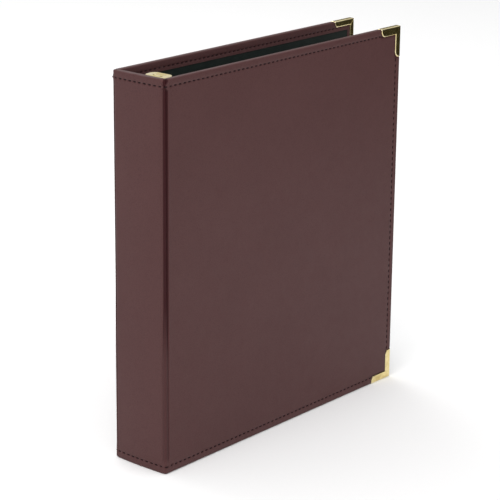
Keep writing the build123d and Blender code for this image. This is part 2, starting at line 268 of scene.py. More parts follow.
class Finish:
    """A material under construction, with one Principled shader."""

    def __init__(self, name, **sockets):
        self.material = bpy.data.materials.new(name)
        self.material.use_nodes = True
        self.tree = self.material.node_tree
        self.shader = self.tree.nodes["Principled BSDF"]
        for socket, value in sockets.items():
            self.shader.inputs[socket.replace("_", " ")].default_value = value
        self.place = self.node("ShaderNodeTexCoord").outputs["Object"]
        self.normal = None

    def node(self, kind, **settings):
        """A new node with these settings."""
        made = self.tree.nodes.new(kind)
        for key, value in settings.items():
            setattr(made, key, value)
        return made

    def feed(self, socket, value):
        """Links an output, or writes a number, into a socket."""
        if isinstance(value, bpy.types.NodeSocket):
            self.tree.links.new(value, socket)
        else:
            socket.default_value = value

    def noise(self, size, detail=2.0, roughness=0.5, stretch=(1, 1, 1)):
        """Noise whose features are about this many metres across."""
        mapping = self.node("ShaderNodeMapping")
        self.feed(mapping.inputs["Vector"], self.place)
        mapping.inputs["Scale"].default_value = stretch
        noise = self.node("ShaderNodeTexNoise")
        self.feed(noise.inputs["Vector"], mapping.outputs["Vector"])
        noise.inputs["Scale"].default_value = 1 / size
        noise.inputs["Detail"].default_value = detail
        noise.inputs["Roughness"].default_value = roughness
        return noise.outputs["Fac"]

    def cells(self, size):
        """Distance within cells about this many metres across."""
        cells = self.node("ShaderNodeTexVoronoi")
        self.feed(cells.inputs["Vector"], self.place)
        cells.inputs["Scale"].default_value = 1 / size
        return cells.outputs["Distance"]

    def threads(self, size, direction):
        """Fine parallel threads this many metres apart."""
        wave = self.node("ShaderNodeTexWave", bands_direction=direction)
        self.feed(wave.inputs["Vector"], self.place)
        wave.inputs["Scale"].default_value = 1 / (size * WAVE_RATE) * 2 * pi
        wave.inputs["Distortion"].default_value = 0.6
        wave.inputs["Detail"].default_value = 1.0
        return wave.outputs["Fac"]

    def span(self, value, low, high, to_low=0.0, to_high=1.0):
        """A value remapped from one range to another, and clamped."""
        remap = self.node("ShaderNodeMapRange")
        self.feed(remap.inputs["Value"], value)
        ends = {"From Min": low, "From Max": high, "To Min": to_low, "To Max": to_high}
        for socket, number in ends.items():
            remap.inputs[socket].default_value = number
        return remap.outputs["Result"]

    def math(self, operation, a, b):
        """The result of a sum on two values."""
        sums = self.node("ShaderNodeMath", operation=operation)
        self.feed(sums.inputs[0], a)
        self.feed(sums.inputs[1], b)
        return sums.outputs["Value"]

    def mix(self, amount, first, second):
        """One colour changing to another by an amount."""
        mixed = self.node("ShaderNodeMix", data_type="RGBA")
        self.feed(mixed.inputs["Factor"], amount)
        colours = [s for s in mixed.inputs if s.type == "RGBA"]
        for socket, colour in zip(colours, (first, second)):
            self.feed(socket, colour)
        return [s for s in mixed.outputs if s.type == "RGBA"][0]

    def pressed_and_shade(self):
        """The leather's pressing and painted shade here, from 0 to 1, as its mesh says."""
        return self.node("ShaderNodeAttribute", attribute_name="pressed_and_shade").outputs["Fac"]

    def pointiness(self):
        """Above a half on edges and below it in hollows."""
        return self.node("ShaderNodeNewGeometry").outputs["Pointiness"]

    def bump(self, height, depth, strength=1.0):
        """Adds relief this many metres deep."""
        bump = self.node("ShaderNodeBump")
        bump.inputs["Strength"].default_value = strength
        bump.inputs["Distance"].default_value = depth
        self.feed(bump.inputs["Height"], height)
        if self.normal is not None:
            self.feed(bump.inputs["Normal"], self.normal)
        self.normal = bump.outputs["Normal"]
        self.feed(self.shader.inputs["Normal"], self.normal)


def leather_finish():
    """Dark burgundy leatherette with a fine pebbled grain, darker with pressing and with painted shade in
    dents, grooves and beside the metal, paler on worn edges, partly as a painted highlight.
    """
    finish = Finish("leatherette", Specular_IOR_Level=0.17)
    tone = finish.noise(LEATHER_CLOUD, detail=5.0, roughness=0.6)
    colour = finish.mix(tone, LEATHER_DEEP, LEATHER_LIGHT)
    grain = finish.cells(LEATHER_GRAIN)
    colour = finish.mix(finish.span(grain, 0.35, 0.8, 0, 0.35), colour, LEATHER_PORE)
    edges = finish.pointiness()
    # Convex edges paler: wear, and a painted highlight
    colour = finish.mix(finish.span(edges, 0.53, 0.62, 0, 0.30), colour, LEATHER_WEAR_AND_HIGHLIGHT)
    # Painted shade: darker in stitch dents, hinge grooves and beside the metal corners, along with real
    # pressing
    colour = finish.mix(finish.pressed_and_shade(), colour, LEATHER_PRESSED_SHADE)
    finish.feed(finish.shader.inputs["Base Color"], colour)
    scuff = finish.noise(LEATHER_SCUFF, detail=6.0, roughness=0.65)
    finish.feed(finish.shader.inputs["Roughness"], finish.span(scuff, 0.3, 0.7, 0.43, 0.54))
    finish.bump(finish.span(grain, 0.0, 0.75, 1, 0), 0.05 * MM, 0.45)
    finish.bump(finish.noise(LEATHER_HAIR, detail=3.0), 0.02 * MM, 0.4)
    return finish.material


def thread_finish():
    """Dark waxed sewing thread, with its twist."""
    finish = Finish("thread", Roughness=0.7, Specular_IOR_Level=0.12)
    tone = finish.noise(THREAD_CLOUD, detail=3.0)
    colour = finish.mix(tone, THREAD_DEEP, THREAD_LIGHT)
    finish.feed(finish.shader.inputs["Base Color"], colour)
    finish.bump(finish.threads(THREAD_TWIST, "DIAGONAL"), 0.06 * MM, 0.6)
    return finish.material


def brass_finish(name, light, deep, roughness):
    """Polished brass plate with faint polishing lines and slight tarnish, paler on worn edges partly as a
    painted highlight, and darker in hollows as painted shade.
    """
    finish = Finish(name, Metallic=1.0)
    tarnish = finish.noise(BRASS_TARNISH, detail=6.0, roughness=0.62)
    colour = finish.mix(finish.span(tarnish, 0.35, 0.75), light, deep)
    edges = finish.pointiness()
    # Convex edges paler: wear, and a painted highlight
    colour = finish.mix(finish.span(edges, 0.51, 0.56, 0, 0.75), colour, BRASS_WEAR_AND_HIGHLIGHT)
    # Painted shade: hollows and hole walls darker
    colour = finish.mix(finish.span(edges, 0.47, 0.40, 0, 0.85), colour, BRASS_HOLLOW_SHADE)
    finish.feed(finish.shader.inputs["Base Color"], colour)
    lines = finish.noise(BRASS_LINE, detail=4.0, stretch=(1, 1, 0.06))
    blotches = finish.noise(BRASS_BLOTCH, detail=4.0)
    blotches = finish.span(blotches, 0.3, 0.7, roughness - 0.05, roughness + 0.07)
    finish.feed(finish.shader.inputs["Roughness"], blotches)
    finish.bump(lines, 0.008 * MM, 0.35)
    finish.bump(finish.noise(BRASS_WAVE, detail=2.0), 0.05 * MM, 0.3)
    return finish.material


def lining_finish():
    """Near-black lining cloth with a fine woven texture."""
    finish = Finish("lining", Roughness=0.7, Specular_IOR_Level=0.14, Sheen_Weight=0.03)
    tone = finish.noise(LINING_CLOUD, detail=5.0)
    colour = finish.mix(tone, LINING_DEEP, LINING_LIGHT)
    finish.feed(finish.shader.inputs["Base Color"], colour)
    warp = finish.threads(LINING_WEAVE, "X")
    weave = finish.math("MULTIPLY", warp, finish.threads(LINING_WEAVE, "Z"))
    finish.bump(weave, 0.07 * MM, 0.6)
    finish.bump(finish.noise(LINING_FUZZ, detail=4.0), 0.04 * MM, 0.4)
    return finish.material


def board_finish():
    """Grey bookbinding board with flecks of fibre."""
    finish = Finish("board", Roughness=0.9)
    flecks = finish.noise(BOARD_FLECK, detail=6.0, roughness=0.7, stretch=(1, 1, 0.3))
    colour = finish.mix(flecks, BOARD_DEEP, BOARD_LIGHT)
    finish.feed(finish.shader.inputs["Base Color"], colour)
    finish.bump(flecks, 0.1 * MM, 0.5)
    return finish.material


def vinyl_finish(name, alpha, tint):
    """Clear soft vinyl with a faint haze and slow ripples."""
    finish = Finish(name, Alpha=alpha, Specular_IOR_Level=0.5)
    haze = finish.noise(VINYL_HAZE, detail=4.0)
    pale = tuple(min(1, c * 1.08) for c in tint[:3]) + (1,)
    finish.feed(finish.shader.inputs["Base Color"], finish.mix(haze, tint, pale))
    finish.feed(finish.shader.inputs["Roughness"], finish.span(haze, 0.3, 0.7, 0.16, 0.28))
    finish.bump(finish.noise(VINYL_RIPPLE, detail=2.0), 0.5 * MM, 0.4)
    finish.bump(finish.noise(VINYL_SPECK, detail=2.0), 0.01 * MM, 0.3)
    return finish.material


def floor_finish():
    """Plain pale matt studio floor."""
    finish = Finish("studio_floor", Roughness=0.95)
    paper = finish.noise(FLOOR_FIBRE, detail=4.0)
    colour = finish.mix(paper, FLOOR_DEEP, FLOOR_LIGHT)
    finish.feed(finish.shader.inputs["Base Color"], colour)
    return finish.material


LEATHER = leather_finish()
THREAD = thread_finish()
CORNER_BRASS = brass_finish("corner_brass", CORNER_LIGHT, CORNER_DEEP, 0.13)
RING_BRASS = brass_finish("ring_brass", RING_LIGHT, RING_DEEP, 0.11)
LINING = lining_finish()
BOARD = board_finish()
VINYL = vinyl_finish("page_vinyl", 0.36, VINYL_TINT)
WELD = vinyl_finish("page_weld", 0.6, WELD_TINT)


# Mesh helpers


def mesh_piece(name, points, faces, material, sharp=50.0, pressed_and_shade=None):
    """A named piece from points and faces, with outward normals and smooth shading up to an angle.
    The pressing argument, when given, says how much pressing and painted shade the leather gets at each
    point, for its finish."""
    mesh = bpy.data.meshes.new(name)
    mesh.from_pydata([tuple(p) for p in points], [], [tuple(f) for f in faces])
    work = bmesh.new()
    work.from_mesh(mesh)
    bmesh.ops.recalc_face_normals(work, faces=work.faces)
    work.to_mesh(mesh)
    work.free()
    mesh.materials.append(material)
    mesh.polygons.foreach_set("use_smooth", [True] * len(mesh.polygons))
    mesh.set_sharp_from_angle(angle=radians(sharp))
    if pressed_and_shade is not None:
        mesh.attributes.new("pressed_and_shade", "FLOAT", "POINT").data.foreach_set("value", pressed_and_shade)
    piece = bpy.data.objects.new(name, mesh)
    bpy.context.scene.collection.objects.link(piece)
    return piece


def closed_sweep(rows, count):
    """Faces of a tube whose rows each hold count points, with both ends capped by strips."""
    faces = []
    for j in range(rows - 1):
        for i in range(count):
            k = (i + 1) % count
            faces.append((j * count + i, j * count + k, (j + 1) * count + k, (j + 1) * count + i))
    for row in (0, rows - 1):
        base = row * count
        for i in range(count // 2 - 1):
            faces.append((base + i, base + i + 1, base + count - 2 - i, base + count - 1 - i))
    return faces


# Leather slabs: rings of points from the middle of the outer face, round the edge,
# to the middle of the inner face


def round_insets(radius):
    """Insets at which a rounded edge is cut, from the edge inwards."""
    return [radius * (1 - sin(radians(a))) for a in EDGE_TURNS]


def outer_insets():
    """Insets of the outer face's rings, close together at the seam."""
    outside = [-1.6, -0.8, -0.45, -0.22, 0]
    inside = [0.22, 0.45, 0.8, 1.05, 1.4, 1.9, 2.7, 3.8]
    near_seam = [SEAM_INSET + k * MM for k in outside + inside]
    rings = round_insets(EDGE_RADIUS) + [1.6 * MM, 2.6 * MM] + near_seam
    return [(inset, inset, inset) for inset in rings]


def inner_insets(low_margin, high_margin):
    """Insets of the inner face's rings, out to a lining window with these margins on its two sides."""
    shares = [0.22, 0.35, 0.48, 0.57, 0.61, 0.65, 0.69, 0.73, 0.82, 0.93, 0.985, 1.0]
    rings = [(inset,) * 3 for inset in round_insets(EDGE_RADIUS)]
    margins = (low_margin, high_margin, TURN_IN)
    clear = [s for s in shares if s * low_margin > EDGE_RADIUS]
    rings += [tuple(margin * s for margin in margins) for s in clear]
    for steps in (1, WINDOW_SHELF):
        rings.append(tuple(margin + steps * WINDOW_WALL for margin in margins))
    return rings


def ring_points(low, high, insets, cells):
    """The points of one ring: along the bottom, up the far side, back along the top and down."""
    u0, u1 = low[0] + insets[0], high[0] - insets[1]
    v0, v1 = low[1] + insets[2], high[1] - insets[2]
    run = [(u0 + (u1 - u0) * i / cells[0], v0) for i in range(cells[0])]
    run += [(u1, v0 + (v1 - v0) * j / cells[1]) for j in range(cells[1])]
    run += [(u1 - (u1 - u0) * i / cells[0], v1) for i in range(cells[0])]
    run += [(u0, v1 - (v1 - v0) * j / cells[1]) for j in range(cells[1])]
    return run


def centre_panel(ring, first, cells, start):
    """Extra points and faces that fill a ring with a coarse grid. first is the ring's first index."""
    nu, nv = cells[0] // PANEL_STEP, cells[1] // PANEL_STEP
    total = 2 * (cells[0] + cells[1])
    corner = ring[0]
    far = ring[cells[0] + cells[1]]
    points = []
    inside = {}
    for i in range(1, nu):
        for j in range(1, nv):
            inside[i, j] = start + len(points)
            across = corner[0] + (far[0] - corner[0]) * i / nu
            points.append((across, corner[1] + (far[1] - corner[1]) * j / nv))

    def border(i, j):
        """Position round the ring of a grid point on its border, or None inside."""
        if j == 0:
            return i * PANEL_STEP
        if i == nu:
            return cells[0] + j * PANEL_STEP
        if j == nv:
            return cells[0] + cells[1] + (nu - i) * PANEL_STEP
        if i == 0:
            return 2 * cells[0] + cells[1] + (nv - j) * PANEL_STEP
        return None

    def between(a, b):
        """Indices from grid point a up to, but not including, b."""
        here, there = border(*a), border(*b)
        if here is None:
            return [inside[a]]
        if there is None or (there - here) % total > PANEL_STEP:
            return [first + here % total]
        return [first + (here + k) % total for k in range((there - here) % total)]

    faces = []
    for i in range(nu):
        for j in range(nv):
            loop = [(i, j), (i + 1, j), (i + 1, j + 1), (i, j + 1), (i, j)]
            faces.append(sum((between(a, b) for a, b in zip(loop, loop[1:])), []))
    return points, faces


def slab(low, high, thick, inner_rings, lines, relief, recess, shade, place):
    """Points, faces and pressing, with its painted shade, of a closed leather-covered board with these
    sewn lines.
    relief lowers its outer face and recess its inner one, shade says where else shade is painted,
    and place puts plan and depth into space."""
    cells = [PANEL_STEP * round((high[k] - low[k]) / RING_STEP / PANEL_STEP) for k in (0, 1)]
    total = 2 * (cells[0] + cells[1])
    outer = outer_insets()[::-1]
    plan, face, depth = [], [], []
    for insets in outer:
        plan += ring_points(low, high, insets, cells)
        face += [1] * total
        depth += [0.0] * total
    for share in SIDE_ROWS:
        plan += ring_points(low, high, (0, 0, 0), cells)
        face += [0] * total
        depth += [share * (thick / 2 - EDGE_RADIUS)] * total
    for insets in inner_rings:
        plan += ring_points(low, high, insets, cells)
        face += [-1] * total
        depth += [0.0] * total
    count = len(outer) + len(SIDE_ROWS) + len(inner_rings)
    faces = []
    for r in range(count - 1):
        for i in range(total):
            k = (i + 1) % total
            faces.append((r * total + i, r * total + k, (r + 1) * total + k, (r + 1) * total + i))
    for ring, sign in ((0, 1), (count - 1, -1)):
        own = plan[ring * total:(ring + 1) * total]
        extra, panel = centre_panel(own, ring * total, cells, len(plan))
        plan += extra
        face += [sign] * len(extra)
        depth += [0.0] * len(extra)
        faces += panel
    u, v = np.array(plan).T
    face, depth = np.array(face), np.array(depth)
    side_u = np.where(u - low[0] < high[0] - u, -1.0, 1.0)
    side_v = np.where(v - low[1] < high[1] - v, -1.0, 1.0)
    qu = np.clip(EDGE_RADIUS - np.minimum(u - low[0], high[0] - u), 0, None)
    qv = np.clip(EDGE_RADIUS - np.minimum(v - low[1], high[1] - v), 0, None)
    q = np.hypot(qu, qv)
    shrink = 1 - np.where(q > EDGE_RADIUS, EDGE_RADIUS / np.maximum(q, 1e-9), 1)
    u = u - side_u * qu * shrink
    v = v - side_v * qv * shrink
    drop = EDGE_RADIUS - np.sqrt(np.clip(EDGE_RADIUS**2 - np.minimum(q, EDGE_RADIUS) ** 2, 0, None))
    sewn = seams_relief(u, v, lines)
    d = np.where(face > 0, thick / 2 - drop - relief(u, v) - sewn, depth)
    d = np.where(face < 0, -thick / 2 + drop + recess(u, v) + sewn, d)
    # Painted shade in the stitch dents, growing with their depth
    pressed_and_shade = np.clip(STITCH_SHADE * sewn / STITCH_DENT - STITCH_SHADE_START, 0, 1)
    pressed_and_shade = np.where(face == 0, 0, pressed_and_shade)
    # On the outer face, the painted shadow line beside the metal corners
    pressed_and_shade = np.where(face > 0, np.maximum(pressed_and_shade, shade(u, v)), pressed_and_shade)
    return np.stack(place(u, v, d), 1), faces, pressed_and_shade


def seam_relief(along, across, pitch, length):
    """Depth of a sewn line: a soft channel with a dent at each stitch."""
    spare = SEAM_SPARE * pitch
    on = ((along > -spare) & (along < length + spare)).astype(float)
    turn = 0.5 - 0.5 * np.cos(2 * pi * along / pitch)
    dent = STITCH_DENT * ease(*STITCH_EASE, turn) * hill(across, STITCH_DENT_WIDTH)
    return on * (SEAM_GROOVE * hill(across, SEAM_GROOVE_WIDTH) + dent)


def waves(u, v, phase):
    """Slow unevenness of glued leather."""
    slow = np.sin(u / SLOW_WAVE[0] + phase) * np.sin(v / SLOW_WAVE[1] + 2 * phase)
    quick = np.sin(u / QUICK_WAVE[0] - v / QUICK_WAVE[1] + 3 * phase)
    return PANEL_WAVE * (SLOW_SHARE * slow + (1 - SLOW_SHARE) * quick)


# Seams


def seam_lines(low, high, sides):
    """The sewn lines of a slab as (start, direction, length, pitch), on the named sides."""
    u0, v0 = low
    u1, v1 = high
    bottom, top, fore = SEAM_BOTTOM, SEAM_TOP, u1 - SEAM_INSET
    end = fore if "fore" in sides else u1
    lines = []
    for v in (bottom, top):
        count = round((end - u0) / STITCH_PITCH)
        lines.append(((u0, v), (1, 0), end - u0, (end - u0) / count))
    if "fore" in sides:
        count = round((top - bottom) / STITCH_PITCH)
        lines.append(((fore, bottom), (0, 1), top - bottom, (top - bottom) / count))
    return lines


def seams_relief(u, v, lines):
    """The deepest of a slab's sewn lines at each point."""
    deepest = np.zeros_like(u)
    for (u0, v0), way, length, pitch in lines:
        along, across = (u - u0, v - v0) if way[0] else (v - v0, u - u0)
        deepest = np.maximum(deepest, seam_relief(along, across, pitch, length))
    return deepest


def stitch_template():
    """One stitch along X: a short thread that dives into the leather at both ends."""
    sections, sides = THREAD_SECTIONS, THREAD_SIDES
    points, faces = [], []
    for s in range(sections):
        t = 2 * s / (sections - 1) - 1
        radius = THREAD_RADIUS * (1 - THREAD_TAPER * t**4)
        sink = THREAD_SINK + THREAD_DIVE * THREAD_RADIUS * t**4
        for k in range(sides):
            turn = 2 * pi * k / sides
            points.append((t * STITCH_LENGTH / 2, radius * cos(turn), radius * sin(turn) - sink))
    for s in range(sections - 1):
        for k in range(sides):
            m = (k + 1) % sides
            faces.append((s * sides + k, s * sides + m, (s + 1) * sides + m, (s + 1) * sides + k))
    faces.append(tuple(range(sides)))
    faces.append(tuple((sections - 1) * sides + k for k in range(sides)))
    return np.array(points), faces


def stitch_piece(name, spots):
    """One mesh of stitches, each at a spot of (centre, along, out) in space."""
    template, pattern = stitch_template()
    points, faces = [], []
    for centre, along, out in spots:
        along, out = Vector(along).normalized(), Vector(out).normalized()
        across = out.cross(along)
        start = len(points)
        for x, y, z in template:
            points.append(Vector(centre) + along * x + across * y + out * z)
        faces += [tuple(start + i for i in f) for f in pattern]
    return mesh_piece(name, points, faces, THREAD)


def line_spots(lines, half_thick, place):
    """Spots for the stitches of a slab's sewn lines, on its outer and inner faces."""
    spots = []
    for (u0, v0), way, length, pitch in lines:
        for k in range(round(length / pitch)):
            u = u0 + way[0] * pitch * (k + 0.5)
            v = v0 + way[1] * pitch * (k + 0.5)
            ahead_u, ahead_v = u + way[0] * SMALL, v + way[1] * SMALL
            for face in (1, -1):
                here = Vector(place(u, v, face * half_thick))
                ahead = Vector(place(ahead_u, ahead_v, face * half_thick))
                out = here - Vector(place(u, v, 0.0))
                spots.append((here, ahead - here, out))
    return spots


# Covers


def cover_place(side):
    """Puts a cover's plan and depth into space. side is -1 for the front cover and 1 for the rear."""
    middle = (FACE_Y + ROOM_Y) / 2

    def place(u, v, d):
        return u, side * (middle + d), v

    return place


def metal_distance(u, v):
    """Distance outside the nearest metal corner's plan, seen from the front."""
    a = FORE_X + CORNER_PROUD - u
    b = np.minimum(COVER_HIGH.z + CORNER_PROUD - v, v - COVER_LOW.z + CORNER_PROUD)
    width = OUTER_FACE[0]
    first = np.hypot(np.clip(a - width, 0, None), np.clip(b - LEG, 0, None))
    second = np.hypot(np.clip(a - LEG, 0, None), np.clip(b - width, 0, None))
    return np.minimum(first, second)


def metal_shade(u, v):
    """Painted shadow line on the leather close to the metal corners."""
    return METAL_SHADE * hill(metal_distance(u, v), METAL_SHADE_WIDTH)


def no_shade(u, v):
    """No painted shade but the seams'."""
    return np.zeros_like(u)


def cover(name, side):
    """One cover's leather, with its border seam."""
    low, high = (COVER_X, COVER_LOW.z), (FORE_X, COVER_HIGH.z)
    thick = FACE_Y - ROOM_Y
    lines = seam_lines(low, high, ("fore",))

    def relief(u, v):
        edge = np.minimum(high[0] - u, np.minimum(v - low[1], high[1] - v))
        crown = BORDER_CROWN * np.sin(pi * np.clip(edge / SEAM_INSET, 0, 1))
        inland = ease(0, COVER_WAVE_RISE, np.minimum(edge, u - low[0]))
        pressed_and_shade = METAL_PRESS * hill(metal_distance(u, v), METAL_PRESS_WIDTH)
        return inland * waves(u, v, 1.0 + side) - crown + pressed_and_shade

    def recess(u, v):
        inside = np.minimum(u - low[0] - HINGE_MARGIN, high[0] - u - TURN_IN)
        inside = np.minimum(inside, np.minimum(v - low[1], high[1] - v) - TURN_IN)
        return WINDOW_DEPTH * (inside > SMALL)

    place = cover_place(side)
    rings = inner_insets(HINGE_MARGIN, TURN_IN)
    points, faces, pressed_and_shade = slab(low, high, thick, rings, lines, relief, recess, metal_shade, place)
    body = name + "_cover"
    skin = mesh_piece(body + "_skin", points, faces, LEATHER, pressed_and_shade=pressed_and_shade)
    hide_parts(body + "_leather")
    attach(skin, body)
    spots = [s for s in line_spots(lines, thick / 2, place) if clear_of_metal(s[0])]
    stitches = stitch_piece(body + "_stitches", spots)
    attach(stitches, body)


def clear_of_metal(point):
    """Whether a stitch lies outside the metal corners."""
    return metal_distance(np.array(point.x), np.array(point.z)) > STITCH_CLEARANCE


# Spine


def bow(y):
    """How far the spine's outer face stands out at y."""
    half = HINGE_Y
    radius = (half**2 + SPINE_BOW**2) / (2 * SPINE_BOW)
    return np.sqrt(radius**2 - np.minimum(np.abs(y), half) ** 2) - (radius - SPINE_BOW)


SPINE_THICK = SPINE_HIGH.x - SPINE_EDGE_X


def spine_place(u, v, d):
    """Puts the spine's plan and depth into space."""
    share = (d + SPINE_THICK / 2) / SPINE_THICK
    middle = SPINE_EDGE_X + SPINE_THICK / 2
    return middle - d - share * bow(u), u, v


def spine():
    """The spine's leather, bowed outwards, sewn at its top and bottom."""
    low, high = (-HINGE_Y, SPINE_LOW.z), (HINGE_Y, SPINE_HIGH.z)
    lines = seam_lines(low, high, ())

    def relief(u, v):
        edge = np.minimum(v - low[1], high[1] - v)
        crown = BORDER_CROWN * np.sin(pi * np.clip(edge / SEAM_INSET, 0, 1))
        side = HINGE_Y - np.abs(u)
        inland = ease(0, SPINE_WAVE_RISE, np.minimum(edge, side))
        groove = SPINE_FALL * (1 - ease(0, SPINE_FALL_WIDTH, side)) * ease(*SPINE_FALL_RISE, edge)
        return inland * waves(u, v, 4.0) - crown + groove

    def recess(u, v):
        inside = np.minimum(v - low[1], high[1] - v) - TURN_IN
        inside = np.minimum(HINGE_Y - np.abs(u) - HINGE_MARGIN, inside)
        return WINDOW_DEPTH * (inside > SMALL)

    rings = inner_insets(HINGE_MARGIN, HINGE_MARGIN)
    board = slab(low, high, SPINE_THICK, rings, lines, relief, recess, no_shade, spine_place)
    points, faces, pressed_and_shade = board
    skin = mesh_piece("spine_skin", points, faces, LEATHER, pressed_and_shade=pressed_and_shade)
    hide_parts("spine_leather")
    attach(skin, "spine")
    stitches = stitch_piece("spine_stitches", line_spots(lines, SPINE_THICK / 2, spine_place))
    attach(stitches, "spine")


# Hinges: a strip of leather from the spine's face, round the corner, to the cover's face


def hinge_flush(p, side):
    """Point and outward normal of the album's corner at path length p from the spine's edge."""
    if p < 0:
        y = HINGE_Y + p
        return Vector((SPINE_EDGE_X - float(bow(y)) - SKIN_LIFT, side * y)), Vector((-1, 0))
    if p < ARC:
        turn = p / FLUSH
        out = Vector((-cos(turn), side * sin(turn)))
        return Vector((HINGE_X, side * HINGE_Y)) + out * (FLUSH + SKIN_LIFT), out
    return Vector((HINGE_X + p - ARC, side * (FACE_Y + SKIN_LIFT))), Vector((0, side))


HINGE_END = ARC + COVER_X - HINGE_X
HINGE_MIDDLE = HINGE_END / 2
HINGE_STITCH_STEP = HINGE_MIDDLE + STITCH_PITCH / 2


def groove_shape(z):
    """Depth share and width share of the pressed groove at a height.
    It pinches to a point at the upper seam, and fades out above the lower one."""
    below_top = COVER_HIGH.z - z
    above_bottom = z - COVER_LOW.z
    pinch = abs(below_top - SEAM_INSET)
    least, reach = PINCH_WIDTH
    width = least + (1 - least) * float(ease(0, reach, pinch))
    least, reach = PINCH_DEPTH
    depth = least + (1 - least) * float(ease(0, reach, pinch))
    height = (z - COVER_LOW.z) / (COVER_HIGH.z - COVER_LOW.z)
    depth *= LOW_GROOVE + (1 - LOW_GROOVE) * float(ease(*LOW_GROOVE_HEIGHTS, height))
    start, end = GROOVE_FADE
    depth *= float(ease(SEAM_INSET + start, end, above_bottom))
    return depth, width


def groove_depth(p, z):
    """Depth of the hinge's groove: a low roll between two crevices."""
    depth, width = groove_shape(z)
    n = abs(p - HINGE_MIDDLE + GROOVE_SHIFT) / (GROOVE_HALF * width)
    roll = ROLL_DEPTH + CREVICE_DEPTH * min(n / ROLL_SHARE, 1) ** 2
    return depth * roll * float(1 - ease(GROOVE_WALL, 1.0, n))


def end_rounding(z):
    """How far the strip's outer face curls in at its top and bottom ends."""
    reach = EDGE_RADIUS
    gap = min(COVER_HIGH.z - z, z - COVER_LOW.z, reach)
    return reach - sqrt(max(reach**2 - (reach - gap) ** 2, 0))


def hinge_heights():
    """Heights of the strip's rows, close together at its ends and seams."""
    end = [0, 0.08, 0.3, 0.6, 1.0, 1.6, 2.4, 3.2, 3.9]
    seam = [4.4, 4.75, 5.0, 5.2, 5.4, 5.65, 6.0, 6.5, 7.2]
    beyond = [8.1, 9.2, 10.5, 12, 14, 17]
    near = [s * MM for s in end + seam + beyond]
    low, high = COVER_LOW.z, COVER_HIGH.z
    span = high - low - 2 * near[-1]
    middle = [low + near[-1] + span * k / HINGE_ROWS for k in range(1, HINGE_ROWS)]
    return [low + s for s in near] + middle + [high - s for s in near[::-1]]


def seam_dent(p, z):
    """Depth of the seam that crosses the strip near each end."""
    across = min(abs(z - SEAM_TOP), abs(z - SEAM_BOTTOM))
    channel = SEAM_GROOVE * float(hill(across, SEAM_GROOVE_WIDTH))
    steps = (-HINGE_STITCH_STEP, 0, HINGE_STITCH_STEP)
    near = min(abs(p - HINGE_MIDDLE - step) for step in steps)
    start, end = HINGE_STITCH_ENDS
    under = float(1 - ease(start * STITCH_LENGTH, end * STITCH_LENGTH, near))
    return channel + STITCH_DENT * under * float(hill(across, STITCH_DENT_WIDTH))


def hinge_floor(p):
    """Depth of the strip's inner face: thin over the boards, and thick between them."""
    onto = ease(*HINGE_ONTO, p)
    off = ease(HINGE_END + HINGE_OFF[0], HINGE_END + HINGE_OFF[1], p)
    bridge = float(onto * (1 - off))
    return HINGE_THIN + (FLUSH + SKIN_LIFT - STRIP_RADIUS - HINGE_CAVITY) * bridge


def hinge_skin(name, side):
    """The strip of leather that bends between the spine and a cover."""
    first, last = -SPINE_OVERLAP, HINGE_END + COVER_OVERLAP
    count = HINGE_COLUMNS
    path = [first + (last - first) * k / (count - 1) for k in range(count)]
    heights = hinge_heights()
    points, pressed_and_shade = [], []
    for z in heights:
        outer, inner = [], []
        curl = end_rounding(z)
        for p in path:
            point, out = hinge_flush(p, side)
            tip = float(1 - ease(0, HINGE_TIP, min(p - first, last - p)))
            groove = groove_depth(p, z) + seam_dent(p, z)
            depth = groove + curl + HINGE_TIP_DEPTH * tip
            # Painted shade: the leather darkens with the depth of the groove and of the seam's dents
            pressed_and_shade.append(min(groove / PRESSED_SHADE_DEPTH, 1) ** PRESSED_SHADE_POWER)
            inner_depth = max(hinge_floor(p), depth + HINGE_SHEET)
            outer.append((*(point - out * depth), z))
            inner.append((*(point - out * inner_depth), z))
        points += outer + inner[::-1]
        # The strip's inner face gets half of the pressing darkening and painted shade all over
        pressed_and_shade += [0.5] * count
    faces = closed_sweep(len(heights), 2 * count)
    skin = mesh_piece(name + "_hinge_skin", points, faces, LEATHER, pressed_and_shade=pressed_and_shade)
    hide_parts(name + "_hinge_leather")
    hinge_blend(skin, name, side)
    spots = []
    for z in (SEAM_TOP, SEAM_BOTTOM):
        point, out = hinge_flush(HINGE_MIDDLE, side)
        ahead, _ = hinge_flush(HINGE_MIDDLE + HINGE_AHEAD, side)
        centre = point - out * groove_depth(HINGE_MIDDLE, z)
        spots.append(((*centre, z), (*(ahead - point), 0), (*out, 0)))
    hinge_blend(stitch_piece(name + "_hinge_stitches", spots), name, side)


def hinge_strip(name, side):
    """The lining strip on the inside of a hinge."""
    reach = COVER_X - HINGE_X
    quarter = [pi / 2 * k / STRIP_TURNS for k in range(STRIP_TURNS + 1)]
    runs = [reach * k / STRIP_STEPS for k in range(1, STRIP_STEPS + 1)]
    height = COVER_HIGH.z - COVER_LOW.z
    heights = [COVER_LOW.z + height * k / STRIP_ROWS for k in range(STRIP_ROWS + 1)]
    points = []
    for z in heights:
        loops = []
        for radius in (STRIP_RADIUS, STRIP_RADIUS - STRIP_THICK):
            arc = [(HINGE_X - radius * cos(t), side * (HINGE_Y + radius * sin(t)), z) for t in quarter]
            loops.append(arc + [(HINGE_X + x, side * (HINGE_Y + radius), z) for x in runs])
        points += loops[0] + loops[1][::-1]
    count = 2 * (len(quarter) + len(runs))
    strip = mesh_piece(name + "_hinge_strip", points, closed_sweep(len(heights), count), LINING)
    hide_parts(name + "_hinge_lining")
    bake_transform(strip)


def hinge_blend(piece, name, side):
    """Bakes a hinge piece's placement into its mesh."""
    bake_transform(piece)


# Metal corners: a folded channel that follows the cover's two edges and meets at a mitre


